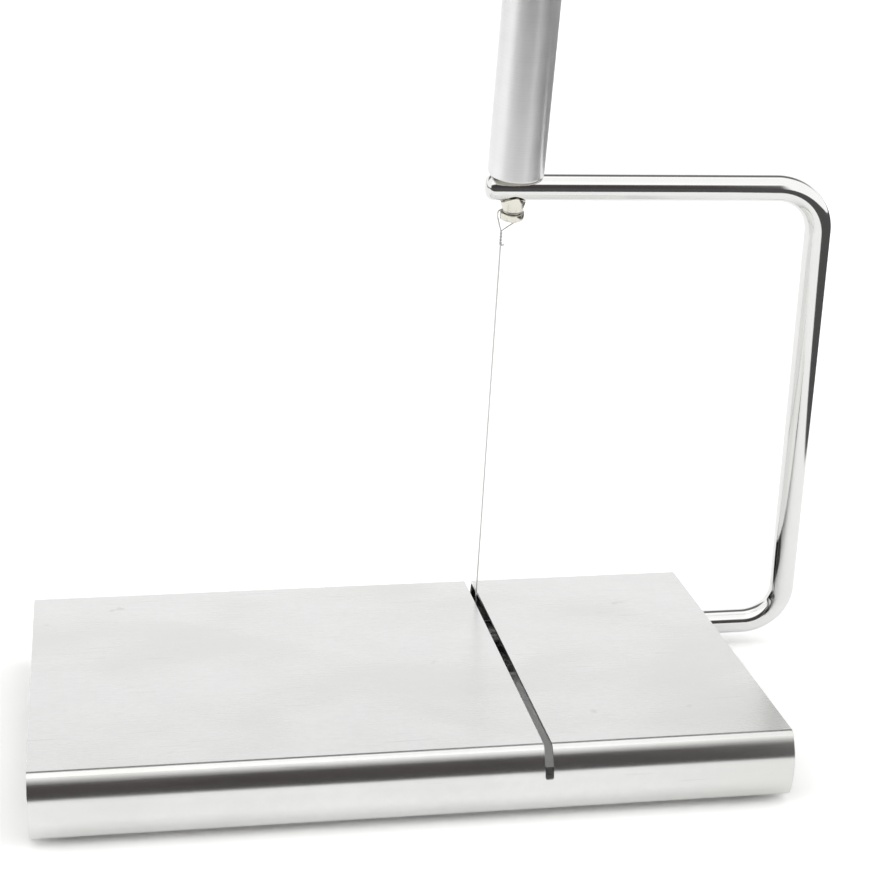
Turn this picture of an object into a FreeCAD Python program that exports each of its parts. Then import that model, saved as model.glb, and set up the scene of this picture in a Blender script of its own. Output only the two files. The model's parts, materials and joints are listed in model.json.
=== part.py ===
"""Cheese wire cutter: a folded steel board with a hinged wire bow and a tensioning handle.

Frame: origin at the centre of the board's flat cutting face, +X along the board's long
side towards the bow, +Y away from the user, +Z up. Millimetres.
"""
import FreeCAD
import Part
import math
import os

V = FreeCAD.Vector
X_AXIS = V(1, 0, 0)
Y_AXIS = V(0, 1, 0)
Z_AXIS = V(0, 0, 1)

# ---- board: one steel sheet, folded at the front and the back, open at both ends ----
board_length = 212.0
board_flat = 127.2          # flat part of the cutting face, between the two edge bends
board_height = 19.75        # cutting face to the underside of the returns
sheet = 1.0
edge_bend_radius = 2.35     # outside radius where the flat turns into the bowed edge
edge_bend_angle = 57.6      # how far each edge bend turns, degrees
front_return = 23.2         # flat lip folded back under the front edge
back_return = 34.0          # flat lip under the back edge, which carries the hinge
sheet_edge_break = 0.2      # deburred cut edges at the two ends

# ---- slot that the wire drops into ----
slot_from_right_end = 70.35
slot_width = 2.4
slot_front_drop = 9.1       # how far it runs down the front edge
slot_back_drop = 9.1        # how far it runs down the back edge
slot_corner_radius = 0.6

# ---- bow: one bent steel rod ----
rod_diameter = 8.0
rod_from_back_tangent = 11.2   # hinge axis, in front of the cutting face's back bend
rod_above_return = 0.88        # rod's underside to the back return's upper face
bow_tilt = 12.94               # lean of the raised bow towards the user
upright_outside_end = 33.7     # upright's centre beyond the board's end, at the hinge axis
upright_lean = 2.57            # inward lean of the upright
top_leg_reach = 156.4          # hinge axis to the top leg's centre, at the upright
top_leg_slope = 1.1            # rise of the top leg towards its free end
lower_bend_radius = 12.5       # centre line, at the end of the hinge leg
upper_bend_radius = 15.0       # centre line, at the start of the top leg
free_end_overhang = 8.65       # top leg beyond the stud's axis
free_end_round = 2.6
hinge_end_past_block = 5.0     # rod beyond the inner hinge block
rod_end_chamfer = 0.8

# ---- hinge blocks, one at each side of the slot ----
block_width = 14.0
block_depth = 20.0
block_top_wall = 3.0
block_edge_radius = 3.0
outer_block_from_end = 30.0    # block centre to the board's right end
inner_block_from_slot = 16.0   # block centre to the slot
screw_spread = 14.6            # between a block's two screws, front to back
bearing_gap = 0.03             # radial running clearance of the rod

# ---- hinge screws ----
screw_diameter = 3.0
screw_hole_gap = 0.2           # radial, in the sheet
screw_reach = 7.0              # into the block
screw_head_diameter = 5.4
screw_head_height = 1.5
screw_head_round = 0.9
screw_socket_flats = 2.0
screw_socket_depth = 0.8

# ---- snap rings that keep the rod from sliding out ----
ring_wire = 1.0
ring_groove_depth = 0.5
ring_groove_play = 0.05
ring_side_gap = 0.3            # ring to hinge block
ring_opening = 60.0            # degrees

# ---- rubber feet ----
foot_height = 2.25
foot_top_diameter = 13.0
foot_bottom_diameter = 11.0
foot_edge_radius = 0.55
foot_from_end = 10.0
foot_from_edge_tangent = 10.5

# ---- cutting wire, its crimped end and its twisted loop ----
wire_diameter = 0.5
wire_hole_diameter = 0.9
ferrule_diameter = 2.6
ferrule_length = 2.2
ferrule_edge_radius = 0.3
ferrule_pocket_gap = 0.2
ferrule_pocket_depth = 2.8
knot_height = 3.75             # stud's lower rim to the point where the strands meet
twist_length = 5.5
twist_radius = 0.45            # round the two twisted strands
strand_gap = 0.05              # between the second strand and the stud's lower rim
noose_slack = 0.35             # how far the first strand stands off that rim
strand_angle = 25.0            # where the second strand leaves the stud

# ---- tension stud: grooved head under the rod, threaded shank up into the handle ----
stud_disc_diameter = 7.3       # below the groove
stud_disc_height = 2.25
stud_disc_chamfer = 0.4
groove_height = 0.8
groove_diameter = 5.2
groove_wire_gap = 0.02
groove_below_rod = 2.95        # rod's underside to the top of the groove
stud_neck_diameter = 6.5       # just above the groove
stud_flare_diameter = 7.8      # at the level of the rod's underside and above
stud_seat_gap = 0.5            # between the head's saddle and the rod: the travel left
stud_thread_diameter = 5.0
stud_thread_reach = 24.0       # shank above the washer
stud_tip_chamfer = 0.8
stud_hole_gap = 0.15           # radial, in the rod
thread_gap = 0.05              # radial, in the handle's tapped plug

# ---- handle ----
turning_gap = 0.15             # washer to the rod
washer_diameter = 14.4
washer_thickness = 0.9
handle_diameter = 16.7
handle_length = 98.0
handle_wall = 1.8
handle_edge_radius = 1.4
plug_length = 20.0
cap_depth = 9.0
cap_crown = 1.2                # dome of the end cap above the tube's end

# ---- worked out from the values above ----
rod_radius = rod_diameter / 2
wire_radius = wire_diameter / 2
slot_x = board_length / 2 - slot_from_right_end
hinge_y = board_flat / 2 - rod_from_back_tangent
return_top_z = -board_height + sheet
hinge_z = return_top_z + rod_above_return + rod_radius
upright_x = board_length / 2 + upright_outside_end
outer_block_x = board_length / 2 - outer_block_from_end
inner_block_x = slot_x - inner_block_from_slot
hinge_end_x = inner_block_x - block_width / 2 - hinge_end_past_block

groove_top = -(rod_radius + groove_below_rod)
groove_middle = groove_top - groove_height / 2
disc_top = groove_top - groove_height
disc_bottom = disc_top - stud_disc_height
loop_radius = groove_diameter / 2 + groove_wire_gap + wire_radius
rim_wire_radius = stud_disc_diameter / 2 + wire_radius
washer_bottom = rod_radius + turning_gap
handle_bottom = washer_bottom + washer_thickness


def top_leg_height(x):
    """Distance of the top leg's centre line from the hinge axis, at x."""
    corner_x = upright_x - top_leg_reach * math.tan(math.radians(upright_lean))
    return top_leg_reach + (corner_x - x) * math.tan(math.radians(top_leg_slope))


# the loop's left side hangs straight above the slot
stud_x = slot_x + loop_radius - groove_middle * math.sin(math.radians(top_leg_slope))
stud_height = top_leg_height(stud_x)


def cylinder(radius, length, base, direction):
    return Part.makeCylinder(radius, length, base, direction)


def box_between(low, high):
    return Part.makeBox(high.x - low.x, high.y - low.y, high.z - low.z, low)


def raise_bow(shape):
    """Place a piece drawn with the bow upright (x, away from the user, out from the hinge)."""
    placed = shape.copy()
    placed.rotate(V(0, 0, 0), X_AXIS, bow_tilt)
    placed.translate(V(0, hinge_y, hinge_z))
    return placed


def at_stud(shape):
    """Place a piece drawn round the stud's axis, z = 0 at the top leg's centre, bow upright."""
    placed = shape.copy()
    placed.rotate(V(0, 0, 0), Y_AXIS, top_leg_slope)
    placed.translate(V(stud_x, 0, stud_height))
    return placed


def on_stud(shape):
    """Place a piece drawn round the stud's axis on the raised bow."""
    return raise_bow(at_stud(shape))


def revolve(outline):
    """Turn a closed outline of (radius, height) points once round the z axis."""
    points = [V(radius, 0, height) for radius, height in outline]
    wire = Part.makePolygon(points + [points[0]])
    return Part.Face(wire).revolve(V(0, 0, 0), Z_AXIS, 360)


# ---------------------------------------------------------------- board

def edge_path(side, depth):
    """Edges and end point of one folded edge, at a depth below the sheet's outer face."""
    turn = math.radians(edge_bend_angle)
    face_radius = (board_height / 2 - edge_bend_radius * (1 - math.cos(turn))) / math.cos(turn)
    tangent_y = side * board_flat / 2

    def around(centre, radius, angle):
        """Point at an angle from straight up, turning outwards."""
        return V(0, centre.y + side * radius * math.sin(angle), centre.z + radius * math.cos(angle))

    upper = V(0, tangent_y, -edge_bend_radius)
    lower = V(0, tangent_y, -board_height + edge_bend_radius)
    inset = (face_radius - edge_bend_radius) * math.sin(turn)
    face_centre = V(0, tangent_y - side * inset, -board_height / 2)
    small = edge_bend_radius - depth
    large = face_radius - depth
    start = around(upper, small, 0)
    bend_end = around(upper, small, turn)
    lower_start = around(lower, small, math.pi - turn)
    finish = around(lower, small, math.pi)
    arcs = [
        Part.Arc(start, around(upper, small, turn / 2), bend_end),
        Part.Arc(bend_end, around(face_centre, large, math.pi / 2), lower_start),
        Part.Arc(lower_start, around(lower, small, math.pi - turn / 2), finish),
    ]
    length = front_return if side < 0 else back_return
    tip = V(0, tangent_y - side * length, finish.z)
    return [arc.toShape() for arc in arcs] + [Part.makeLine(finish, tip)], start, tip


def sheet_section():
    """Closed outline of the folded sheet, in the plane x = 0."""
    edges = []
    starts, tips = [], []
    for depth in (0.0, sheet):
        for side in (-1, 1):
            path, start, tip = edge_path(side, depth)
            edges += path
            starts.append(start)
            tips.append(tip)
    edges.append(Part.makeLine(starts[0], starts[1]))
    edges.append(Part.makeLine(starts[2], starts[3]))
    edges.append(Part.makeLine(tips[0], tips[2]))
    edges.append(Part.makeLine(tips[1], tips[3]))
    return Part.Face(Part.Wire(Part.__sortEdges__(edges)))


def slot_cutter():
    """Tool for the slot: over the whole flat, and a stated drop down each edge."""
    half = slot_width / 2
    reach = board_flat / 2 + board_height
    tools = []
    for side, drop in ((-1, slot_front_drop), (1, slot_back_drop)):
        near, far = sorted((0.0, side * reach))
        tool = box_between(V(slot_x - half, near, -drop), V(slot_x + half, far, board_height))
        corners = [e for e in tool.Edges
                   if abs(e.BoundBox.ZMax + drop) < 1e-6 and e.BoundBox.YLength > slot_width]
        tools.append(tool.makeFillet(slot_corner_radius, corners))
    return tools[0].fuse(tools[1])


def make_board():
    section = sheet_section()
    section.translate(V(-board_length / 2, 0, 0))
    board = section.extrude(V(board_length, 0, 0))
    rims = [e for e in board.Edges if e.BoundBox.XLength < 1e-6]
    board = board.makeFillet(sheet_edge_break, rims)
    board = board.cut(slot_cutter())
    for x, y in screw_places():
        board = board.cut(cylinder(screw_diameter / 2 + screw_hole_gap, 2 * sheet,
                                   V(x, y, -board_height - sheet / 2), Z_AXIS))
    return board


# ---------------------------------------------------------------- hinge

def screw_places():
    return [(x, hinge_y + side * screw_spread / 2)
            for x in (inner_block_x, outer_block_x) for side in (-1, 1)]


def make_hinge_block(x):
    top = hinge_z + rod_radius + block_top_wall
    block = box_between(V(x - block_width / 2, hinge_y - block_depth / 2, return_top_z),
                        V(x + block_width / 2, hinge_y + block_depth / 2, top))
    upper = [e for e in block.Edges
             if abs(e.BoundBox.ZMin - top) < 1e-6 and e.BoundBox.XLength > 1]
    block = block.makeFillet(block_edge_radius, upper)
    bore = cylinder(rod_radius + bearing_gap, 2 * block_width,
                    V(x - block_width, hinge_y, hinge_z), X_AXIS)
    block = block.cut(bore)
    for side in (-1, 1):
        hole = cylinder(screw_diameter / 2, screw_reach,
                        V(x, hinge_y + side * screw_spread / 2, return_top_z), Z_AXIS)
        block = block.cut(hole)
    return block


def make_screw(x, y):
    """Button-head screw, driven up through the back return into a hinge block."""
    under = -board_height
    shank = cylinder(screw_diameter / 2, sheet + screw_reach, V(x, y, under), Z_AXIS)
    head = cylinder(screw_head_diameter / 2, screw_head_height, V(x, y, under), -Z_AXIS)
    rim = [e for e in head.Edges if abs(e.BoundBox.ZMax - under + screw_head_height) < 1e-6]
    head = head.makeFillet(screw_head_round, rim)
    corner = screw_socket_flats / math.sqrt(3)
    ring = [V(x + corner * math.cos(math.radians(a)), y + corner * math.sin(math.radians(a)),
              under - screw_head_height) for a in range(0, 361, 60)]
    socket = Part.Face(Part.makePolygon(ring)).extrude(V(0, 0, screw_socket_depth))
    return shank.fuse(head).cut(socket).removeSplitter()


def ring_places():
    """Snap rings sit just off both faces of the inner hinge block."""
    offset = block_width / 2 + ring_side_gap + ring_wire / 2
    return [inner_block_x - offset, inner_block_x + offset]


def make_snap_ring(x):
    centre_radius = rod_radius - ring_groove_depth + ring_groove_play + ring_wire / 2
    ring = Part.makeTorus(centre_radius, ring_wire / 2, V(x, 0, 0), X_AXIS,
                          -180, 180, 360 - ring_opening)
    return raise_bow(ring)


# ---------------------------------------------------------------- bow

def bow_corners():
    """Directions, bend corners and end points of the rod's centre line, bow upright."""
    lean = math.radians(upright_lean)
    slope = math.radians(top_leg_slope)
    lower = V(upright_x, 0, 0)
    upper = V(upright_x - top_leg_reach * math.tan(lean), 0, top_leg_reach)
    along_upright = (upper - lower).normalize()
    along_top = V(-math.cos(slope), 0, math.sin(slope))
    end = V(stud_x, 0, stud_height) + along_top * free_end_overhang
    return lower, upper, along_upright, along_top, end


def rod_bend(corner, arriving, leaving, bend_radius):
    """Bent stretch of rod round a corner, with the points where it starts and stops."""
    turn = math.acos(arriving.dot(leaving))
    tangent = bend_radius * math.tan(turn / 2)
    inwards = (leaving - arriving).normalize()
    centre = corner + inwards * (bend_radius / math.cos(turn / 2))
    start = corner - arriving * tangent
    disc = Part.Face(Part.Wire([Part.makeCircle(rod_radius, start, arriving)]))
    bend = disc.revolve(centre, arriving.cross(leaving), math.degrees(turn))
    return bend, start, corner + leaving * tangent


def straight_rod(start, finish):
    return cylinder(rod_radius, (finish - start).Length, start, finish - start)


def rim_at(shape, point):
    """The round edge of a straight rod that goes round a point."""
    rims = [e for e in shape.Edges if len(e.Vertexes) == 1]
    return min(rims, key=lambda e: e.CenterOfMass.distanceToPoint(point))


def make_bow():
    lower, upper, along_upright, along_top, end = bow_corners()
    start = V(hinge_end_x, 0, 0)
    lower_bend, a, b = rod_bend(lower, X_AXIS, along_upright, lower_bend_radius)
    upper_bend, c, d = rod_bend(upper, along_upright, along_top, upper_bend_radius)
    hinge_leg = straight_rod(start, a)
    hinge_leg = hinge_leg.makeChamfer(rod_end_chamfer, [rim_at(hinge_leg, start)])
    top_leg = straight_rod(d, end)
    top_leg = top_leg.makeFillet(free_end_round, [rim_at(top_leg, end)])
    for x in ring_places():
        width = ring_wire + 2 * ring_groove_play
        outer = cylinder(rod_diameter, width, V(x - width / 2, 0, 0), X_AXIS)
        inner = cylinder(rod_radius - ring_groove_depth, width, V(x - width / 2, 0, 0), X_AXIS)
        hinge_leg = hinge_leg.cut(outer.cut(inner))
    hinge_leg = hinge_leg.cut(cylinder(wire_hole_diameter / 2, 2 * rod_diameter,
                                       V(slot_x, 0, -rod_diameter), Z_AXIS))
    pocket = ferrule_diameter / 2 + ferrule_pocket_gap
    hinge_leg = hinge_leg.cut(cylinder(pocket, rod_radius + ferrule_pocket_depth,
                                       V(slot_x, 0, -rod_diameter), Z_AXIS))
    hole = cylinder(stud_thread_diameter / 2 + stud_hole_gap, 2 * rod_diameter,
                    V(0, 0, -rod_diameter), Z_AXIS)
    rod = top_leg.cut(at_stud(hole))
    for piece in (upper_bend, straight_rod(b, c), lower_bend, hinge_leg):
        rod = rod.fuse(piece)
    return raise_bow(rod)


# ---------------------------------------------------------------- wire

def make_ferrule():
    """Crimped barrel on the wire's lower end, seated in its pocket in the rod."""
    seat = -rod_radius + ferrule_pocket_depth
    low = V(slot_x, 0, seat - ferrule_length)
    barrel = cylinder(ferrule_diameter / 2, ferrule_length, low, Z_AXIS)
    rims = [e for e in barrel.Edges if e.isClosed() and e.BoundBox.ZLength < 1e-6]
    barrel = barrel.makeFillet(ferrule_edge_radius, rims)
    return raise_bow(barrel.cut(cylinder(wire_radius, ferrule_length, low, Z_AXIS)))


def knot_top():
    """Height above the hinge axis at which the two strands meet."""
    return stud_height + disc_bottom - knot_height


def make_wire():
    low = -rod_radius + ferrule_pocket_depth - ferrule_length
    high = knot_top() - twist_length
    return raise_bow(cylinder(wire_radius, high - low, V(slot_x, 0, low), Z_AXIS))


def strand(points):
    """A bent wire through the given points, rounded at each corner."""
    shape = None
    for a, b in zip(points, points[1:]):
        run = cylinder(wire_radius, (b - a).Length, a, b - a)
        shape = run if shape is None else shape.fuse(run)
    for corner in points[1:-1]:
        shape = shape.fuse(Part.makeSphere(wire_radius, corner))
    return shape


def make_wire_loop():
    """Loop in the stud's groove, its two strands over the lower rim and their twist."""
    shape = at_stud(Part.makeTorus(loop_radius, wire_radius, V(0, 0, groove_middle), Z_AXIS))
    knot = V(slot_x, 0, knot_top())
    slope = math.radians(top_leg_slope)

    def stud_point(radius, angle, height):
        x = radius * math.cos(math.radians(angle))
        y = radius * math.sin(math.radians(angle))
        return V(stud_x + x * math.cos(slope) + height * math.sin(slope), y,
                 stud_height - x * math.sin(slope) + height * math.cos(slope))

    for angle, gap in ((180.0, noose_slack), (strand_angle, strand_gap)):
        points = [stud_point(loop_radius, angle, groove_middle),
                  stud_point(rim_wire_radius + gap, angle, groove_middle),
                  stud_point(rim_wire_radius + gap, angle, disc_bottom), knot]
        shape = shape.fuse(strand(points))
    twist = cylinder(twist_radius, twist_length, V(slot_x, 0, knot_top() - twist_length), Z_AXIS)
    collar = Part.makeSphere(twist_radius, knot)
    return raise_bow(shape.fuse(twist).fuse(collar))


# ---------------------------------------------------------------- stud and handle

def make_stud():
    """Grooved head with a saddle that fits under the rod and stops it turning, and its shank."""
    disc = stud_disc_diameter / 2
    groove = groove_diameter / 2
    shank = stud_thread_diameter / 2
    shank_top = handle_bottom + stud_thread_reach
    saddle = cylinder(rod_radius + stud_seat_gap, 2 * rod_diameter, V(-rod_diameter, 0, 0), X_AXIS)
    head = revolve([
        (0, disc_bottom), (disc - stud_disc_chamfer, disc_bottom),
        (disc, disc_bottom + stud_disc_chamfer), (disc, disc_top), (groove, disc_top),
        (groove, groove_top), (stud_neck_diameter / 2, groove_top),
        (stud_flare_diameter / 2, -rod_radius), (stud_flare_diameter / 2, 0), (0, 0)]).cut(saddle)
    stem = revolve([
        (0, disc_top), (shank, disc_top), (shank, shank_top - stud_tip_chamfer),
        (shank - stud_tip_chamfer, shank_top), (0, shank_top)])
    return on_stud(head.fuse(stem).removeSplitter())


def make_washer():
    inner = stud_thread_diameter / 2 + stud_hole_gap
    ring = cylinder(washer_diameter / 2, washer_thickness, V(0, 0, washer_bottom), Z_AXIS)
    ring = ring.cut(cylinder(inner, washer_thickness, V(0, 0, washer_bottom), Z_AXIS))
    return on_stud(ring)


def make_handle_tube():
    tube = cylinder(handle_diameter / 2, handle_length, V(0, 0, handle_bottom), Z_AXIS)
    rims = [e for e in tube.Edges if e.isClosed() and e.BoundBox.ZLength < 1e-6]
    tube = tube.makeFillet(handle_edge_radius, rims)
    bore = cylinder(handle_diameter / 2 - handle_wall, handle_length,
                    V(0, 0, handle_bottom), Z_AXIS)
    return on_stud(tube.cut(bore))


def make_handle_plug():
    """Tapped plug pressed into the tube's lower end; it runs on the stud's thread."""
    low = V(0, 0, handle_bottom)
    flange = cylinder(handle_diameter / 2 - handle_wall, plug_length, low, Z_AXIS)
    bore = cylinder(stud_thread_diameter / 2 + thread_gap, plug_length, low, Z_AXIS)
    return on_stud(flange.cut(bore))


def make_handle_cap():
    """End cap pressed into the tube's upper end, with a low crown."""
    radius = handle_diameter / 2 - handle_wall
    top = handle_bottom + handle_length
    plug = cylinder(radius, cap_depth, V(0, 0, top - cap_depth), Z_AXIS)
    ball_radius = (radius ** 2 + cap_crown ** 2) / (2 * cap_crown)
    ball = Part.makeSphere(ball_radius, V(0, 0, top + cap_crown - ball_radius))
    crown = ball.common(cylinder(radius, cap_crown, V(0, 0, top), Z_AXIS))
    return on_stud(plug.fuse(crown).removeSplitter())


def make_foot(x_side, y_side):
    x = x_side * (board_length / 2 - foot_from_end)
    y = y_side * (board_flat / 2 - foot_from_edge_tangent)
    foot = Part.makeCone(foot_bottom_diameter / 2, foot_top_diameter / 2, foot_height,
                         V(x, y, -board_height - foot_height), Z_AXIS)
    rim = [e for e in foot.Edges
           if e.isClosed() and abs(e.BoundBox.ZMax + board_height + foot_height) < 1e-6]
    return foot.makeFillet(foot_edge_radius, rim)


def main():
    os.makedirs("parts", exist_ok=True)
    nodes = {
        "board": make_board(),
        "hinge_block_inner": make_hinge_block(inner_block_x),
        "hinge_block_outer": make_hinge_block(outer_block_x),
        "hinge_screws": Part.Compound([make_screw(x, y) for x, y in screw_places()]),
        "bow": make_bow(),
        "snap_rings": Part.Compound([make_snap_ring(x) for x in ring_places()]),
        "wire_ferrule": make_ferrule(),
        "cutting_wire": make_wire(),
        "wire_loop": make_wire_loop(),
        "tension_stud": make_stud(),
        "handle_washer": make_washer(),
        "handle_tube": make_handle_tube(),
        "handle_plug": make_handle_plug(),
        "handle_cap": make_handle_cap(),
    }
    for x_side, x_name in ((-1, "left"), (1, "right")):
        for y_side, y_name in ((-1, "front"), (1, "back")):
            nodes[f"foot_{y_name}_{x_name}"] = make_foot(x_side, y_side)
    for name, shape in nodes.items():
        if not shape.isValid():
            raise ValueError(f"{name} is not a valid solid")
        shape.exportStep(f"parts/{name}.step")
        print(name, len(shape.Solids), round(shape.Volume, 1))


main()
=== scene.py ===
import json
import math

import bmesh
import bpy
from mathutils import Matrix, Vector


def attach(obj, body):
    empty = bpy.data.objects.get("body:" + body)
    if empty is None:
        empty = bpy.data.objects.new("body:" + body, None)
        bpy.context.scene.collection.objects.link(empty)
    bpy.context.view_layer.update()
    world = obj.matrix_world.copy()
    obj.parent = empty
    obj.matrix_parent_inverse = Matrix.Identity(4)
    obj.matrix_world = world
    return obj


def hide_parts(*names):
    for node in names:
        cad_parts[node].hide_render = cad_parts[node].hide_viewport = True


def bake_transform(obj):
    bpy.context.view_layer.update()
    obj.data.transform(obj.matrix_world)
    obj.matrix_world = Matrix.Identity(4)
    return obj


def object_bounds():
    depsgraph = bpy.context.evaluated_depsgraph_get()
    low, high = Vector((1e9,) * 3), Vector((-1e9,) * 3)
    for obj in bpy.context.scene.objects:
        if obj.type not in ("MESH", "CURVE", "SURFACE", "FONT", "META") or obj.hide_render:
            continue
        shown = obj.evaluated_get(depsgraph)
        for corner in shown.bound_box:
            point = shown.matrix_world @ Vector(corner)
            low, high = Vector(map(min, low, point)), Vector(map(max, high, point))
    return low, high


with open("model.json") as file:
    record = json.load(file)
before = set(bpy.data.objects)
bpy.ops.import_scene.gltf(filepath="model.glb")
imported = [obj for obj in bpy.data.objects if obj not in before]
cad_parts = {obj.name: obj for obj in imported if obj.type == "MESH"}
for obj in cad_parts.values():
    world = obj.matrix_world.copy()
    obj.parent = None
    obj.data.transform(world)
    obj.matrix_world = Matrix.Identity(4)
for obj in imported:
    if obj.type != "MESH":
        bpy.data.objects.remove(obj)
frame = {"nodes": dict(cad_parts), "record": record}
cad_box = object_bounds()

MM = 0.001
WELD = 0.0015 * MM             # corners nearer than this are one
JOINTS = {joint["name"]: joint for joint in frame["record"]["behaviour"]["joints"]}
HINGE = Vector(JOINTS["bow_hinge"]["pos_m"])        # on the wire, at the hinge axis
STUD = Vector(JOINTS["handle_turn"]["pos_m"])       # stud's axis at the top leg's centre
STUD_AXIS = Vector(JOINTS["handle_turn"]["axis"]).normalized()
BOW_LEAN = math.radians(12.94)
BOW_OUT = Vector((0, -math.sin(BOW_LEAN), math.cos(BOW_LEAN)))   # out from the hinge axis
BOW_AWAY = Vector((0, math.cos(BOW_LEAN), math.sin(BOW_LEAN)))   # square to it, from the user back
ALONG_LEG = Vector((1, 0, 0))
STUD_SIDE = (ALONG_LEG - STUD_AXIS * ALONG_LEG.dot(STUD_AXIS)).normalized()
STUD_FRAME = Matrix.Translation(STUD) @ Matrix(
    (STUD_SIDE, STUD_AXIS.cross(STUD_SIDE), STUD_AXIS)).transposed().to_4x4()

# ---- board, for its finish ----
FLAT_END = 64.2 * MM           # from the board's middle line
FOLD_START = 65.0 * MM

# ---- bow: one bent rod ----
ROD_RADIUS = 3.98 * MM         # a hair under the frame's rod, to stay inside its box
LEG_START = 7.65 * MM          # hinge leg's inner end, along the board
UPRIGHT_X = 139.7 * MM
UPRIGHT_LEAN = math.radians(2.57)
TOP_REACH = 156.4 * MM
TOP_SLOPE = math.radians(1.1)
LOWER_BEND = 12.5 * MM
UPPER_BEND = 15.0 * MM
FREE_END = 8.65 * MM           # top leg beyond the stud's axis
FREE_END_ROUND = 2.6 * MM
LEG_CHAMFER = 0.8 * MM
RING_GROOVES = (11.85 * MM, 27.45 * MM)
RING_GROOVE_HALF = 0.55 * MM   # half the groove's width
RING_GROOVE_DEPTH = 0.5 * MM
RING_GROOVE_WALL = 0.01 * MM   # run of each groove's side, so that it has a direction
WIRE_HOLE_RADIUS = 0.45 * MM
FERRULE_POCKET_RADIUS = 1.5 * MM
FERRULE_POCKET_FLOOR = -1.2 * MM
STUD_HOLE_GAP = 0.15 * MM
DRILL_REACH = 8 * MM           # each way from the rod's middle
BEND_LEAD = 0.4 * MM           # straight rod that keeps a bend's shading off its legs

# ---- stud and handle, heights along the stud's axis from the top leg's centre ----
SHANK_RADIUS = 2.5 * MM
SHANK_TOP = 29.05 * MM
RIM_RADIUS = 3.65 * MM
RIM_BOTTOM = -10.0 * MM
RIM_TOP = -7.75 * MM
RIM_CHAMFER = 0.4 * MM
HEAD_EASE = 0.12 * MM
GROOVE_RADIUS = 2.6 * MM
GROOVE_TOP = -6.95 * MM
NECK_RADIUS = 3.25 * MM
FLARE_RADIUS = 3.9 * MM
SADDLE_RADIUS = 4.5 * MM       # hollow under the rod
SADDLE_REACH = 9 * MM
THREAD_PITCH = 0.8 * MM
THREAD_DEPTH = 0.35 * MM
TIP_CHAMFER = 0.8 * MM
HANDLE_RADIUS = 8.35 * MM
HANDLE_BORE = 6.55 * MM
HANDLE_SEAT = 5.05 * MM        # where the tube bears on the washer
HANDLE_TOP = 103.05 * MM
HANDLE_MOUTH = 4.3 * MM        # tube's lower rim, just clear of the rod
MOUTH_RADIUS = 7.35 * MM       # recess that hides the washer
MOUTH_EASE = 0.8 * MM
TOP_EASE = 1.4 * MM

# ---- wire work ----
WIRE_RADIUS = 0.25 * MM
WIRE_LOW = 3.4 * MM            # wire's lower end, under the hinge axis
LOOP_STAND_OFF = 4.25 * MM     # left strand's distance from the stud's axis
KNOT_BELOW_RIM = 3.75 * MM
TWIST_LENGTH = 5.5 * MM
TWIST_PITCH = 2.1 * MM
TWIST_BELOW_KNOT = 0.1 * MM
STRAND_OFFSET = 0.21 * MM      # each twisted strand from the twist's middle
NOOSE_WIRE_RADIUS = 0.9 * WIRE_RADIUS
NOOSE_SEAT = GROOVE_RADIUS + 1.15 * WIRE_RADIUS
RIGHT_STRAND = RIM_RADIUS + 1.2 * WIRE_RADIUS
RIGHT_ANGLE = 25               # degrees round the stud, towards the back
OVERLAP = 0.9 * MM             # cutting wire inside the twist

# ---- camera ----
CAMERA_PLACE = (-0.08419, -0.59775, 0.25244)
CAMERA_LENS = 87.65
CAMERA_YAW, CAMERA_PITCH, CAMERA_ROLL = (math.radians(a) for a in (9.51, 16.948, 0.879))

# ---- studio ----
TABLE_Z = cad_box[0].z
TABLE_DROP = 0.05 * MM         # keeps the table clear of the feet
TABLE_HALF = 6.0               # the whole floor, from its middle
TABLE_RIGHT = 0.265            # right edge of the white sheet, at the cutter
TABLE_LEFT = -1.3
TABLE_SKEW = 0.27              # how the right side runs off, further back
TABLE_FRONT = -0.262
SOFT_EDGE = 0.008
SHEET_SEEN = 1.33              # whiteness of the sheet to the camera
SHEET_IN_METAL = 1.12
SHEET_LIGHT = 0.95
ROOM_FLOOR = 0.09
SOFTBOX = (1.28, 1.28, 1.26, 1)
OPENING = (0.066, 0.058, 0.058, 1)
LOW_WALL = 0.9
DIM_GAP = 0.17
BACK_WALL = 1.1
RIGHT_BOX = 1.15
LEFT_CARD = 1.1


# ---------------------------------------------------------------- node helpers

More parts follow.
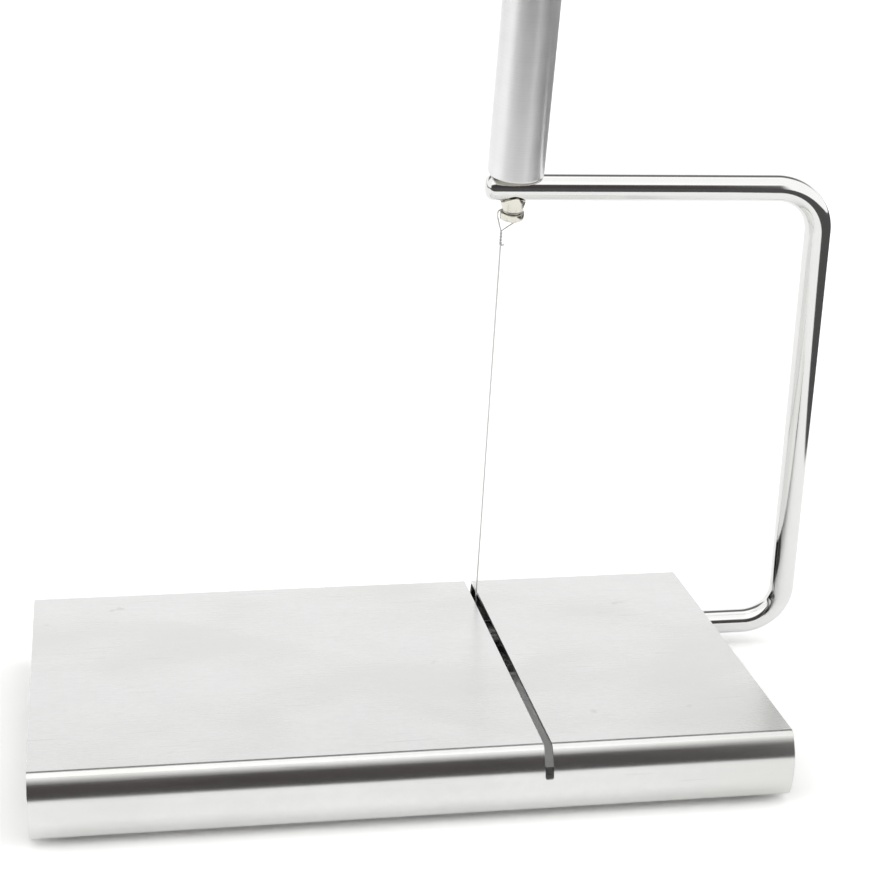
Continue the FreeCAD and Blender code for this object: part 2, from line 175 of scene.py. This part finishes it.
class Shading:
    """Node tree of one material or of the studio, with short calls to add to it."""

    def __init__(self, owner):
        owner.use_nodes = True
        self.nodes = owner.node_tree.nodes
        self.links = owner.node_tree.links
        self.nodes.clear()

    def add(self, kind, **inputs):
        node = self.nodes.new(kind)
        for name, value in inputs.items():
            self.plug(node.inputs[name.replace("_", " ")], value)
        return node

    def plug(self, socket, value):
        if isinstance(value, bpy.types.NodeSocket):
            self.links.new(value, socket)
        else:
            socket.default_value = value

    def calc(self, operation, *values):
        node = self.nodes.new("ShaderNodeMath")
        node.operation = operation
        for socket, value in zip(node.inputs, values):
            self.plug(socket, value)
        return node.outputs[0]

    def vector(self, operation, *values):
        node = self.nodes.new("ShaderNodeVectorMath")
        node.operation = operation
        for socket, value in zip(node.inputs, values):
            self.plug(socket, value)
        return node.outputs["Value" if operation == "DOT_PRODUCT" else "Vector"]

    def fade(self, value, low, high, first=0.0, last=1.0):
        """first up to low, last from high on, and a smooth step between them."""
        node = self.nodes.new("ShaderNodeMapRange")
        node.interpolation_type = "SMOOTHSTEP"
        for socket, number in zip(node.inputs, (value, low, high, first, last)):
            self.plug(socket, number)
        return node.outputs["Result"]

    def mix(self, factor, a, b):
        node = self.nodes.new("ShaderNodeMix")
        node.data_type = "RGBA"
        self.plug(node.inputs["Factor"], factor)
        self.plug(node.inputs["A"], a)
        self.plug(node.inputs["B"], b)
        return node.outputs["Result"]

    def noise(self, vector, scale, detail=3.0, rough=0.5):
        node = self.nodes.new("ShaderNodeTexNoise")
        for name, value in (("Vector", vector), ("Scale", scale), ("Detail", detail),
                            ("Roughness", rough)):
            self.plug(node.inputs[name], value)
        return node.outputs["Fac"]

    def place(self):
        return self.nodes.new("ShaderNodeTexCoord").outputs["Object"]

    def stretched(self, vector, scale, turn=(0, 0, 0)):
        node = self.nodes.new("ShaderNodeMapping")
        for name, value in (("Vector", vector), ("Rotation", turn), ("Scale", scale)):
            self.plug(node.inputs[name], value)
        return node.outputs["Vector"]

    def bump(self, height, strength, distance):
        node = self.nodes.new("ShaderNodeBump")
        for name, value in (("Height", height), ("Strength", strength), ("Distance", distance)):
            self.plug(node.inputs[name], value)
        return node.outputs["Normal"]

    def finish(self, shader, kind="ShaderNodeOutputMaterial"):
        self.links.new(shader.outputs[0], self.nodes.new(kind).inputs["Surface"])


def grey(level):
    return (level, level, level, 1)


def tinted(colour, share):
    return tuple(part * share for part in colour) + (1,)


# ---------------------------------------------------------------- camera

def place_camera():
    """Three-quarter front view from the left, a little above the raised bow's middle."""
    data = bpy.data.cameras.new("camera")
    data.sensor_width = 36.0
    data.lens = CAMERA_LENS
    camera = bpy.data.objects.new("camera", data)
    bpy.context.scene.collection.objects.link(camera)
    level = math.cos(CAMERA_PITCH)
    forward = Vector((math.sin(CAMERA_YAW) * level, math.cos(CAMERA_YAW) * level,
                      -math.sin(CAMERA_PITCH)))
    right = Vector((math.cos(CAMERA_YAW), -math.sin(CAMERA_YAW), 0))
    up = right.cross(forward)
    tilted_right = math.cos(CAMERA_ROLL) * right + math.sin(CAMERA_ROLL) * up
    tilted_up = math.cos(CAMERA_ROLL) * up - math.sin(CAMERA_ROLL) * right
    turn = Matrix((tilted_right, tilted_up, -forward)).transposed()
    camera.matrix_world = Matrix.Translation(CAMERA_PLACE) @ turn.to_4x4()
    bpy.context.scene.camera = camera


# ---------------------------------------------------------------- studio

def make_floor():
    """White sheet on a table, white to the camera and in metal. Metal also sees where it
    ends, with the unlit floor of the room past its edges."""
    mesh = bpy.data.meshes.new("table_top")
    bm = bmesh.new()
    bmesh.ops.create_grid(bm, x_segments=1, y_segments=1, size=TABLE_HALF)
    bmesh.ops.translate(bm, verts=bm.verts, vec=(0, 0, TABLE_Z - TABLE_DROP))
    bm.to_mesh(mesh)
    bm.free()
    floor = bpy.data.objects.new("table_top", mesh)
    bpy.context.scene.collection.objects.link(floor)
    material = bpy.data.materials.new("white_sheet_on_table")
    tree = Shading(material)
    split = tree.add("ShaderNodeSeparateXYZ", Vector=tree.place())
    along, back = split.outputs["X"], split.outputs["Y"]
    skewed = tree.calc("SUBTRACT", along, tree.calc("MULTIPLY", back, TABLE_SKEW))
    inside = tree.calc(
        "MULTIPLY",
        tree.fade(skewed, TABLE_RIGHT - SOFT_EDGE, TABLE_RIGHT + SOFT_EDGE, 1.0, 0.0),
        tree.fade(along, TABLE_LEFT - SOFT_EDGE, TABLE_LEFT + SOFT_EDGE))
    inside = tree.calc("MULTIPLY", inside,
                       tree.fade(back, TABLE_FRONT - SOFT_EDGE, TABLE_FRONT + SOFT_EDGE))
    path = tree.nodes.new("ShaderNodeLightPath").outputs
    in_metal = tree.calc("MAXIMUM", path["Is Glossy Ray"], path["Is Transmission Ray"])
    unseen = tree.mix(in_metal, grey(SHEET_LIGHT), grey(SHEET_IN_METAL))
    sheet = tree.mix(path["Is Camera Ray"], unseen, grey(SHEET_SEEN))
    shown = tree.calc("MAXIMUM", path["Is Camera Ray"], inside)
    colour = tree.mix(shown, grey(ROOM_FLOOR), sheet)
    tree.finish(tree.add("ShaderNodeBsdfDiffuse", Color=colour))
    mesh.materials.append(material)


def make_studio_light():
    """White to the camera. Metal and light see a white tent: an overhead softbox, a box on
    the right and a card on the left, a white back wall with a dim gap over it, and the dark
    opening on the user's side."""
    world = bpy.data.worlds.new("studio")
    bpy.context.scene.world = world
    tree = Shading(world)
    towards = tree.nodes.new("ShaderNodeTexCoord").outputs["Generated"]
    split = tree.add("ShaderNodeSeparateXYZ", Vector=towards)
    aside, back, up = split.outputs["X"], split.outputs["Y"], split.outputs["Z"]
    front = tree.calc("MULTIPLY", back, -1.0)
    degree = 180 / math.pi    # from radians
    # angle from the user's side, over the top, to the back
    over_top = tree.calc("MULTIPLY", tree.calc("ARCTAN2", up, front), degree)
    # angle from the user's side round to the right
    to_right = tree.calc("MULTIPLY", tree.calc("ARCTAN2", aside, front), degree)
    ramp = tree.nodes.new("ShaderNodeValToRGB")
    tree.plug(ramp.inputs["Fac"], tree.calc("DIVIDE", tree.calc("ADD", over_top, 180.0), 360.0))
    stops = [(-180, grey(LOW_WALL)), (-100, grey(LOW_WALL)), (-20, OPENING), (28, OPENING),
             (33, SOFTBOX), (109, SOFTBOX), (115, grey(DIM_GAP)), (142, grey(DIM_GAP)),
             (149, grey(BACK_WALL)), (180, grey(BACK_WALL))]
    elements = ramp.color_ramp.elements
    while len(elements) < len(stops):
        elements.new(0.5)
    for element, (angle, level) in zip(elements, stops):
        element.position = (angle + 180) / 360
        element.color = level
    right_box = tree.calc("MULTIPLY", tree.fade(to_right, 18.0, 30.0),
                          tree.fade(to_right, 112.0, 124.0, 1.0, 0.0))
    right_box = tree.calc("MULTIPLY", right_box, tree.fade(up, -0.05, 0.01))
    left_card = tree.calc("MULTIPLY", tree.fade(to_right, -125.0, -115.0),
                          tree.fade(to_right, -64.0, -56.0, 1.0, 0.0))
    left_card = tree.calc("MULTIPLY", left_card, tree.fade(up, -0.16, -0.06))
    light = tree.mix(right_box, ramp.outputs["Color"], grey(RIGHT_BOX))
    light = tree.mix(left_card, light, grey(LEFT_CARD))
    room = tree.add("ShaderNodeBackground", Color=light)
    backdrop = tree.add("ShaderNodeBackground", Color=grey(1.0))
    path = tree.nodes.new("ShaderNodeLightPath")
    both = tree.nodes.new("ShaderNodeMixShader")
    tree.plug(both.inputs["Fac"], path.outputs["Is Camera Ray"])
    tree.links.new(room.outputs[0], both.inputs[1])
    tree.links.new(backdrop.outputs[0], both.inputs[2])
    tree.finish(both, "ShaderNodeOutputWorld")


# ---------------------------------------------------------------- finishes

def satin_sheet_steel():
    """Board: fine grain along its length, hairline scratches, wiped smudges and a few marks.
    Its folded edges are burnished brighter than the flat."""
    material = bpy.data.materials.new("satin_sheet_steel")
    tree = Shading(material)
    place = tree.place()
    grain = tree.noise(tree.stretched(place, (60, 2600, 2600)), 1.0, 3.0, 0.6)
    smudge = tree.noise(place, 42.0, 5.0, 0.6)
    mottle = tree.noise(place, 420.0, 4.0, 0.7)
    patch = tree.fade(tree.noise(tree.stretched(place, (1, 1.6, 1)), 15.0, 2.0), 0.42, 0.66)
    hair = tree.noise(tree.stretched(place, (35, 900, 900), (0, 0, math.radians(12))), 1.0, 1.0)
    scratch = tree.fade(hair, 0.70, 0.74)
    mark = tree.fade(tree.noise(tree.stretched(place, (1, 0.8, 1)), 105.0, 2.0), 0.715, 0.76)
    split = tree.add("ShaderNodeSeparateXYZ", Vector=place)
    handled = tree.calc("MULTIPLY", tree.fade(split.outputs["X"], 0.045, 0.106),
                        tree.fade(split.outputs["Y"], -0.01, -0.065))
    both = tree.calc("MULTIPLY", tree.calc("ADD", smudge, mottle), 0.5)
    clean = tree.mix(tree.fade(both, 0.3, 0.7), (0.765, 0.768, 0.760, 1),
                     (0.815, 0.815, 0.810, 1))
    smeared = tree.mix(tree.calc("MULTIPLY", patch, 0.5), clean, (0.752, 0.750, 0.732, 1))
    worn = tree.mix(tree.calc("MULTIPLY", handled, 0.6), smeared, (0.700, 0.700, 0.675, 1))
    burnished = tree.fade(tree.calc("ABSOLUTE", split.outputs["Y"]), FLAT_END, FOLD_START)
    mark = tree.calc("MULTIPLY", mark, tree.fade(burnished, 0.0, 1.0, 0.4, 0.0))
    marked = tree.mix(mark, worn, (0.60, 0.59, 0.57, 1))
    colour = tree.mix(tree.calc("MULTIPLY", scratch, 0.35), marked, (0.62, 0.62, 0.62, 1))
    finish = tree.fade(burnished, 0.0, 1.0, 0.235, 0.125)
    rough = tree.calc("ADD", tree.calc("MULTIPLY", grain, 0.06),
                      tree.calc("ADD", tree.calc("MULTIPLY", patch, 0.02), finish))
    normal = tree.bump(tree.calc("SUBTRACT", grain, scratch), 0.06, 0.01 * MM)
    tree.finish(tree.add("ShaderNodeBsdfPrincipled", Base_Color=colour, Metallic=1.0,
                         Roughness=rough, Normal=normal))
    return material


def polished_rod_steel():
    """Bow: bright polished rod with faint handling marks."""
    material = bpy.data.materials.new("polished_rod_steel")
    tree = Shading(material)
    place = tree.place()
    breath = tree.noise(place, 55.0, 4.0, 0.6)
    fine = tree.noise(place, 1800.0, 2.0)
    colour = tree.mix(breath, (0.775, 0.775, 0.765, 1), (0.835, 0.835, 0.825, 1))
    rough = tree.calc("ADD", tree.calc("MULTIPLY", breath, 0.05),
                      tree.calc("ADD", tree.calc("MULTIPLY", fine, 0.03), 0.055))
    tree.finish(tree.add("ShaderNodeBsdfPrincipled", Base_Color=colour, Metallic=1.0,
                         Roughness=rough, Normal=tree.bump(fine, 0.03, 0.004 * MM)))
    return material


def turned_metal(name, axis, colour, roughness, pitch, depth, spread, contrast=0.06):
    """Finish left by a lathe or by polishing while turning: rings round the given axis."""
    material = bpy.data.materials.new(name)
    tree = Shading(material)
    place = tree.place()
    along = tree.vector("DOT_PRODUCT", place, tuple(axis))
    rings = tree.nodes.new("ShaderNodeTexNoise")
    rings.noise_dimensions = "1D"
    tree.plug(rings.inputs["W"], along)
    tree.plug(rings.inputs["Scale"], 1 / pitch)
    tree.plug(rings.inputs["Detail"], 4.0)
    cloud = tree.noise(place, 160.0, 3.0)
    both = tree.calc("MULTIPLY", tree.calc("ADD", rings.outputs["Fac"], cloud), 0.5)
    tone = tree.mix(tree.fade(both, 0.3, 0.7), tinted(colour, 1 - contrast), tinted(colour, 1))
    rough = tree.calc("ADD", tree.calc("MULTIPLY", both, 0.3 * roughness), 0.85 * roughness)
    normal = tree.nodes.new("ShaderNodeNewGeometry").outputs["Normal"]
    round_axis = tree.vector("CROSS_PRODUCT", tuple(axis), normal)
    lengthwise = tree.vector("CROSS_PRODUCT", normal, round_axis)
    shader = tree.add("ShaderNodeBsdfPrincipled", Base_Color=tone, Metallic=1.0,
                      Roughness=rough, Anisotropic=spread, Tangent=lengthwise,
                      Normal=tree.bump(rings.outputs["Fac"], depth, 0.01 * MM))
    tree.finish(shader)
    return material


def plain_metal(name, colour, roughness, grain=900.0, contrast=0.12, depth=0.1):
    """Small bright parts: fine mottling, slightly uneven shine."""
    material = bpy.data.materials.new(name)
    tree = Shading(material)
    place = tree.place()
    mottle = tree.noise(place, grain, 4.0, 0.6)
    broad = tree.noise(place, grain / 6, 2.0)
    tone = tree.mix(tree.calc("MULTIPLY", tree.calc("ADD", mottle, broad), 0.5),
                    tinted(colour, 1 - contrast), tinted(colour, 1 + contrast / 2))
    rough = tree.calc("ADD", tree.calc("MULTIPLY", mottle, 0.4 * roughness), 0.8 * roughness)
    tree.finish(tree.add("ShaderNodeBsdfPrincipled", Base_Color=tone, Metallic=1.0,
                         Roughness=rough, Normal=tree.bump(mottle, depth, 0.01 * MM)))
    return material


def machined_acetal():
    """Hinge blocks: black acetal with fine milling lines along the block."""
    material = bpy.data.materials.new("machined_acetal")
    tree = Shading(material)
    place = tree.place()
    lines = tree.noise(tree.stretched(place, (150, 5200, 5200)), 1.0, 2.0)
    cloud = tree.noise(place, 260.0, 3.0)
    tone = tree.mix(cloud, (0.030, 0.030, 0.032, 1), (0.052, 0.052, 0.055, 1))
    rough = tree.calc("ADD", tree.calc("MULTIPLY", lines, 0.18), 0.36)
    tree.finish(tree.add("ShaderNodeBsdfPrincipled", Base_Color=tone, Roughness=rough,
                         Normal=tree.bump(lines, 0.25, 0.02 * MM)))
    return material


def foot_rubber():
    """Feet: matt grey-black rubber, lightly pitted."""
    material = bpy.data.materials.new("foot_rubber")
    tree = Shading(material)
    place = tree.place()
    pits = tree.noise(place, 2400.0, 3.0, 0.7)
    dust = tree.noise(place, 300.0, 4.0)
    tone = tree.mix(dust, (0.030, 0.030, 0.030, 1), (0.065, 0.063, 0.060, 1))
    rough = tree.calc("ADD", tree.calc("MULTIPLY", pits, 0.2), 0.68)
    tree.finish(tree.add("ShaderNodeBsdfPrincipled", Base_Color=tone, Roughness=rough,
                         Normal=tree.bump(pits, 0.4, 0.04 * MM)))
    return material


MATERIALS = {
    "board_steel": satin_sheet_steel(),
    "polished_rod": polished_rod_steel(),
    "satin_aluminium": turned_metal("satin_aluminium", STUD_AXIS, (0.95, 0.95, 0.955), 0.37,
                                    0.35 * MM, 0.12, 0.8),
    "nickel_stud": turned_metal("nickel_plate", STUD_AXIS, (0.80, 0.78, 0.70), 0.13,
                                0.2 * MM, 0.05, 0.2),
    "plug_brass": turned_metal("turned_brass", STUD_AXIS, (0.80, 0.60, 0.28), 0.22,
                               0.2 * MM, 0.1, 0.3),
    # washer: its dark greenish tone is painted shade, matched to the dark band at the handle's
    # foot, which is the handle's reflection and shade on the rod
    "washer_steel": plain_metal("washer_painted_shade", (0.47, 0.46, 0.41), 0.34),
    "wire_steel": plain_metal("drawn_wire", (0.72, 0.72, 0.71), 0.30, 3000.0),
    "screw_steel": plain_metal("bright_screw", (0.66, 0.66, 0.65), 0.20),
    "bearing_plastic": machined_acetal(),
    "foot_rubber": foot_rubber(),
}


def dress_nodes():
    """Each CAD node takes the material of its slot in the record."""
    slots = {part["node"]: part["material_slot"] for part in frame["record"]["subparts"]}
    for name, node in frame["nodes"].items():
        for place in node.material_slots:
            place.material = MATERIALS[slots[name]]


# ---------------------------------------------------------------- shaping

def finished_piece(name, bm, slot_name, sharp=35.0):
    """Welds what meets, turns faces outwards and shades smooth up to a sharp edge."""
    bmesh.ops.remove_doubles(bm, verts=bm.verts, dist=WELD)
    bmesh.ops.recalc_face_normals(bm, faces=bm.faces)
    mesh = bpy.data.meshes.new(name)
    bm.to_mesh(mesh)
    bm.free()
    mesh.shade_smooth()
    mesh.set_sharp_from_angle(angle=math.radians(sharp))
    mesh.materials.append(MATERIALS[slot_name])
    piece = bpy.data.objects.new(name, mesh)
    bpy.context.scene.collection.objects.link(piece)
    return piece


def swept(runs, radius, rounds, widths=None, smooth=False):
    """Round bar along each run of points; widths scale it from point to point."""
    curve = bpy.data.curves.new("route", "CURVE")
    curve.dimensions = "3D"
    curve.bevel_depth = radius
    curve.bevel_resolution = rounds
    curve.use_fill_caps = True
    curve.resolution_u = 8
    for points in runs:
        spline = curve.splines.new("NURBS" if smooth else "POLY")
        spline.points.add(len(points) - 1)
        for index, (point, at) in enumerate(zip(spline.points, points)):
            point.co = (*at, 1)
            point.radius = widths[index] if widths else 1.0
        if smooth:
            spline.order_u = 3
            spline.use_endpoint_u = True
    holder = bpy.data.objects.new("route", curve)
    bpy.context.scene.collection.objects.link(holder)
    bpy.context.view_layer.update()
    mesh = bpy.data.meshes.new_from_object(holder)
    bpy.data.objects.remove(holder)
    bm = bmesh.new()
    bm.from_mesh(mesh)
    bpy.data.meshes.remove(mesh)
    bmesh.ops.remove_doubles(bm, verts=bm.verts, dist=WELD)
    return bm


def turned(outline, steps=96, closed=False):
    """Spins an outline of (radius, height) points once round the stud's axis."""
    bm = bmesh.new()
    points = [bm.verts.new((radius, 0, height)) for radius, height in outline]
    if closed:
        points.append(points[0])
    edges = [bm.edges.new(pair) for pair in zip(points, points[1:])]
    bmesh.ops.spin(bm, geom=bm.verts[:] + edges, cent=(0, 0, 0), axis=(0, 0, 1),
                   angle=2 * math.pi, steps=steps, use_merge=True)
    bmesh.ops.remove_doubles(bm, verts=bm.verts, dist=WELD)
    bm.transform(STUD_FRAME)
    return bm


def eased(radius, height, ease, end, steps=5):
    """Quarter round at an outline's outer corner, from below upwards; end is 1 for an upper
    corner and -1 for a lower one."""
    corner = []
    for step in range(steps + 1):
        angle = math.pi / 2 * step / steps
        turn = angle if end > 0 else math.pi / 2 - angle
        corner.append((radius - ease * (1 - math.cos(turn)),
                       height - end * ease * (1 - math.sin(turn))))
    return corner


def drill(radius, start, finish):
    """Straight round drill between two points."""
    bm = bmesh.new()
    along = finish - start
    turn = along.to_track_quat("Z", "Y").to_matrix().to_4x4()
    bmesh.ops.create_cone(bm, cap_ends=True, segments=96, radius1=radius, radius2=radius,
                          depth=along.length,
                          matrix=Matrix.Translation((start + finish) / 2) @ turn)
    return bm


def cut_away(bm, cutters):
    """Takes each cutter out of a closed shape."""
    for cutter in cutters:
        holders = []
        for part in (bm, cutter):
            bmesh.ops.recalc_face_normals(part, faces=part.faces)
            mesh = bpy.data.meshes.new("cut")
            part.to_mesh(mesh)
            part.free()
            holders.append(bpy.data.objects.new("cut", mesh))
            bpy.context.scene.collection.objects.link(holders[-1])
        body, tool = holders
        step = body.modifiers.new("cut", "BOOLEAN")
        step.operation = "DIFFERENCE"
        step.solver = "EXACT"
        step.object = tool
        bpy.context.view_layer.update()
        ready = body.evaluated_get(bpy.context.evaluated_depsgraph_get())
        mesh = bpy.data.meshes.new_from_object(ready)
        bm = bmesh.new()
        bm.from_mesh(mesh)
        bpy.data.meshes.remove(mesh)
        for holder in holders:
            bpy.data.objects.remove(holder)
    return bm


# ---------------------------------------------------------------- bow

def on_bow(x, out, away=0.0):
    """Place on the raised bow: x along the board, out from the hinge axis, and away."""
    return Vector((x, HINGE.y, HINGE.z)) + BOW_OUT * out + BOW_AWAY * away


def bend_points(corner, arriving, leaving, radius, steps=36):
    """Centre line round one bend, with a point just before and just after it."""
    turn = arriving.angle(leaving)
    tangent = radius * math.tan(turn / 2)
    centre = corner + (leaving - arriving).normalized() * (radius / math.cos(turn / 2))
    start = corner - arriving * tangent
    axis = arriving.cross(leaving)
    arc = [centre + Matrix.Rotation(turn * step / steps, 3, axis) @ (start - centre)
           for step in range(steps + 1)]
    return [start - arriving * BEND_LEAD] + arc + [arc[-1] + leaving * BEND_LEAD]


def make_bow():
    """Rod from its hinge leg under the board, up and over to its rounded free end."""
    lower = on_bow(UPRIGHT_X, 0)
    upper = on_bow(UPRIGHT_X - TOP_REACH * math.tan(UPRIGHT_LEAN), TOP_REACH)
    up = (upper - lower).normalized()
    along_top = (BOW_OUT * math.sin(TOP_SLOPE) - ALONG_LEG * math.cos(TOP_SLOPE)).normalized()
    end = STUD + along_top * FREE_END
    points, widths = [], []

    def add(point, width=ROD_RADIUS):
        points.append(point)
        widths.append(width / ROD_RADIUS)

    add(on_bow(LEG_START, 0), ROD_RADIUS - LEG_CHAMFER)
    add(on_bow(LEG_START + LEG_CHAMFER, 0))
    shoulder = RING_GROOVE_HALF + RING_GROOVE_WALL
    for x in RING_GROOVES:
        add(on_bow(x - shoulder, 0))
        add(on_bow(x - RING_GROOVE_HALF, 0), ROD_RADIUS - RING_GROOVE_DEPTH)
        add(on_bow(x + RING_GROOVE_HALF, 0), ROD_RADIUS - RING_GROOVE_DEPTH)
        add(on_bow(x + shoulder, 0))
    for point in (bend_points(lower, ALONG_LEG, up, LOWER_BEND)
                  + bend_points(upper, up, along_top, UPPER_BEND)):
        add(point)
    add(STUD - along_top * 12 * MM)
    steps = 14
    for step in range(steps + 1):
        angle = math.pi / 2 * step / steps
        add(end - along_top * FREE_END_ROUND * (1 - math.sin(angle)),
            ROD_RADIUS - FREE_END_ROUND * (1 - math.cos(angle)))
    through_stud = STUD_AXIS * DRILL_REACH
    under_wire = on_bow(HINGE.x, -DRILL_REACH)
    rod = cut_away(swept([points], ROD_RADIUS, 26, widths), [
        drill(SHANK_RADIUS + STUD_HOLE_GAP, STUD - through_stud, STUD + through_stud),
        drill(WIRE_HOLE_RADIUS, under_wire, on_bow(HINGE.x, DRILL_REACH)),
        drill(FERRULE_POCKET_RADIUS, under_wire, on_bow(HINGE.x, FERRULE_POCKET_FLOOR))])
    piece = finished_piece("bent_rod", rod, "polished_rod", 30.0)
    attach(piece, "bow")
    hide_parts("bow")


# ---------------------------------------------------------------- stud and handle

def make_stud():
    """Head with its groove and rim, hollowed to sit under the rod, and the threaded shank."""
    head = turned([(0, RIM_BOTTOM), (RIM_RADIUS - RIM_CHAMFER, RIM_BOTTOM),
                   (RIM_RADIUS - 0.3 * RIM_CHAMFER, RIM_BOTTOM + 0.35 * RIM_CHAMFER),
                   (RIM_RADIUS, RIM_BOTTOM + RIM_CHAMFER)]
                  + eased(RIM_RADIUS, RIM_TOP, HEAD_EASE, 1)
                  + [(GROOVE_RADIUS, RIM_TOP), (GROOVE_RADIUS, GROOVE_TOP)]
                  + eased(NECK_RADIUS, GROOVE_TOP, HEAD_EASE, -1)
                  + [(FLARE_RADIUS, -ROD_RADIUS), (FLARE_RADIUS, 0), (0, 0)])
    past_head = STUD_SIDE * SADDLE_REACH
    head = cut_away(head, [drill(SADDLE_RADIUS, STUD - past_head, STUD + past_head)])
    height = HANDLE_SEAT
    outline = [(0, RIM_TOP), (SHANK_RADIUS, RIM_TOP), (SHANK_RADIUS, -SADDLE_RADIUS),
               (SHANK_RADIUS, height)]
    thread_end = SHANK_TOP - TIP_CHAMFER - 0.1 * MM
    while height + THREAD_PITCH < thread_end:
        outline += [(SHANK_RADIUS - THREAD_DEPTH, height + THREAD_PITCH / 2),
                    (SHANK_RADIUS, height + THREAD_PITCH)]
        height += THREAD_PITCH
    outline += [(SHANK_RADIUS, SHANK_TOP - TIP_CHAMFER), (SHANK_RADIUS - TIP_CHAMFER, SHANK_TOP),
                (0, SHANK_TOP)]
    shank = turned(outline, 48)
    shank_mesh = bpy.data.meshes.new("shank")
    shank.to_mesh(shank_mesh)
    shank.free()
    head.from_mesh(shank_mesh)
    bpy.data.meshes.remove(shank_mesh)
    piece = finished_piece("grooved_stud", head, "nickel_stud", 30.0)
    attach(piece, "stud")
    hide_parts("tension_stud")


def make_handle():
    """Tube with eased ends and a shallow mouth that hides the washer."""
    tube = turned([(MOUTH_RADIUS, HANDLE_MOUTH)]
                  + eased(HANDLE_RADIUS, HANDLE_MOUTH, MOUTH_EASE, -1, 8)
                  + eased(HANDLE_RADIUS, HANDLE_TOP, TOP_EASE, 1, 8)
                  + [(HANDLE_BORE, HANDLE_TOP), (HANDLE_BORE, HANDLE_SEAT),
                     (MOUTH_RADIUS, HANDLE_SEAT)], 128, closed=True)
    piece = finished_piece("satin_tube", tube, "satin_aluminium", 30.0)
    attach(piece, "handle")
    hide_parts("handle_tube")


# ---------------------------------------------------------------- wire

def at_stud(radius, degrees, height):
    """Place round the stud's axis: degrees from the right, by way of the back."""
    angle = math.radians(degrees)
    return STUD_FRAME @ Vector((radius * math.cos(angle), radius * math.sin(angle), height))


RIM_OUT = (STUD + STUD_AXIS * RIM_BOTTOM - HINGE).dot(BOW_OUT)
KNOT_OUT = RIM_OUT - KNOT_BELOW_RIM            # where the two strands meet, from the hinge
TWIST_END = KNOT_OUT - TWIST_LENGTH


def make_taut_wire():
    """Cutting wire from its ferrule up into the twist."""
    low, high = on_bow(HINGE.x, -WIRE_LOW), on_bow(HINGE.x, TWIST_END + OVERLAP)
    taut = finished_piece("taut_wire", swept([[low, high]], WIRE_RADIUS, 3), "wire_steel")
    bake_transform(taut)
    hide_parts("cutting_wire")


def twisted_strand(start_angle, length, steps=40):
    """One strand of the twist, downwards from the knot."""
    strand = []
    for step in range(steps + 1):
        out = KNOT_OUT - TWIST_BELOW_KNOT - step * length / steps
        angle = start_angle + 2 * math.pi * (KNOT_OUT - out) / TWIST_PITCH
        strand.append(on_bow(HINGE.x + STRAND_OFFSET * math.cos(angle), out,
                             STRAND_OFFSET * math.sin(angle)))
    return strand


def make_noose():
    """Wire once round the stud's groove, down over its rim on both sides and twisted."""
    groove = (GROOVE_TOP + RIM_TOP) / 2
    left = [at_stud(LOOP_STAND_OFF - 0.3 * MM, 180, groove - 0.05 * MM),
            at_stud(LOOP_STAND_OFF, 180, RIM_TOP - 0.2 * MM),
            at_stud(LOOP_STAND_OFF + 0.05 * MM, 180, (RIM_BOTTOM + RIM_TOP) / 2),
            at_stud(LOOP_STAND_OFF - 0.1 * MM, 180, RIM_BOTTOM)]
    right = [at_stud(NOOSE_SEAT + 0.35 * MM, RIGHT_ANGLE + 3, groove),
             at_stud(RIGHT_STRAND, RIGHT_ANGLE, RIM_TOP - 0.1 * MM),
             at_stud(RIGHT_STRAND, RIGHT_ANGLE, RIM_BOTTOM - 0.05 * MM),
             at_stud(RIM_RADIUS - 0.8 * MM, RIGHT_ANGLE, RIM_BOTTOM - 0.75 * MM)]
    across_back = [at_stud(NOOSE_SEAT + 0.4 * MM, 176, groove)]
    across_back += [at_stud(NOOSE_SEAT, angle, groove) for angle in range(165, 44, -15)]
    tail = [on_bow(HINGE.x + 0.9 * MM, TWIST_END + 0.75 * MM, -0.25 * MM),
            on_bow(HINGE.x + 1.15 * MM, TWIST_END + 0.95 * MM, -0.3 * MM)]
    first = twisted_strand(math.pi, TWIST_LENGTH - 0.5 * MM)
    second = twisted_strand(0, TWIST_LENGTH - 0.8 * MM)
    main = first[::-1] + left[::-1] + across_back + right + second + tail
    round_front = [at_stud(NOOSE_SEAT, angle, groove) for angle in range(175, 391, 15)]
    wire = swept([main, round_front], NOOSE_WIRE_RADIUS, 3, smooth=True)
    noose = finished_piece("noose", wire, "wire_steel")
    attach(noose, "stud")
    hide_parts("wire_loop")


place_camera()
make_floor()
make_studio_light()
dress_nodes()
make_bow()
make_stud()
make_handle()
make_taut_wire()
make_noose()
bpy.context.scene.view_settings.view_transform = "Standard"
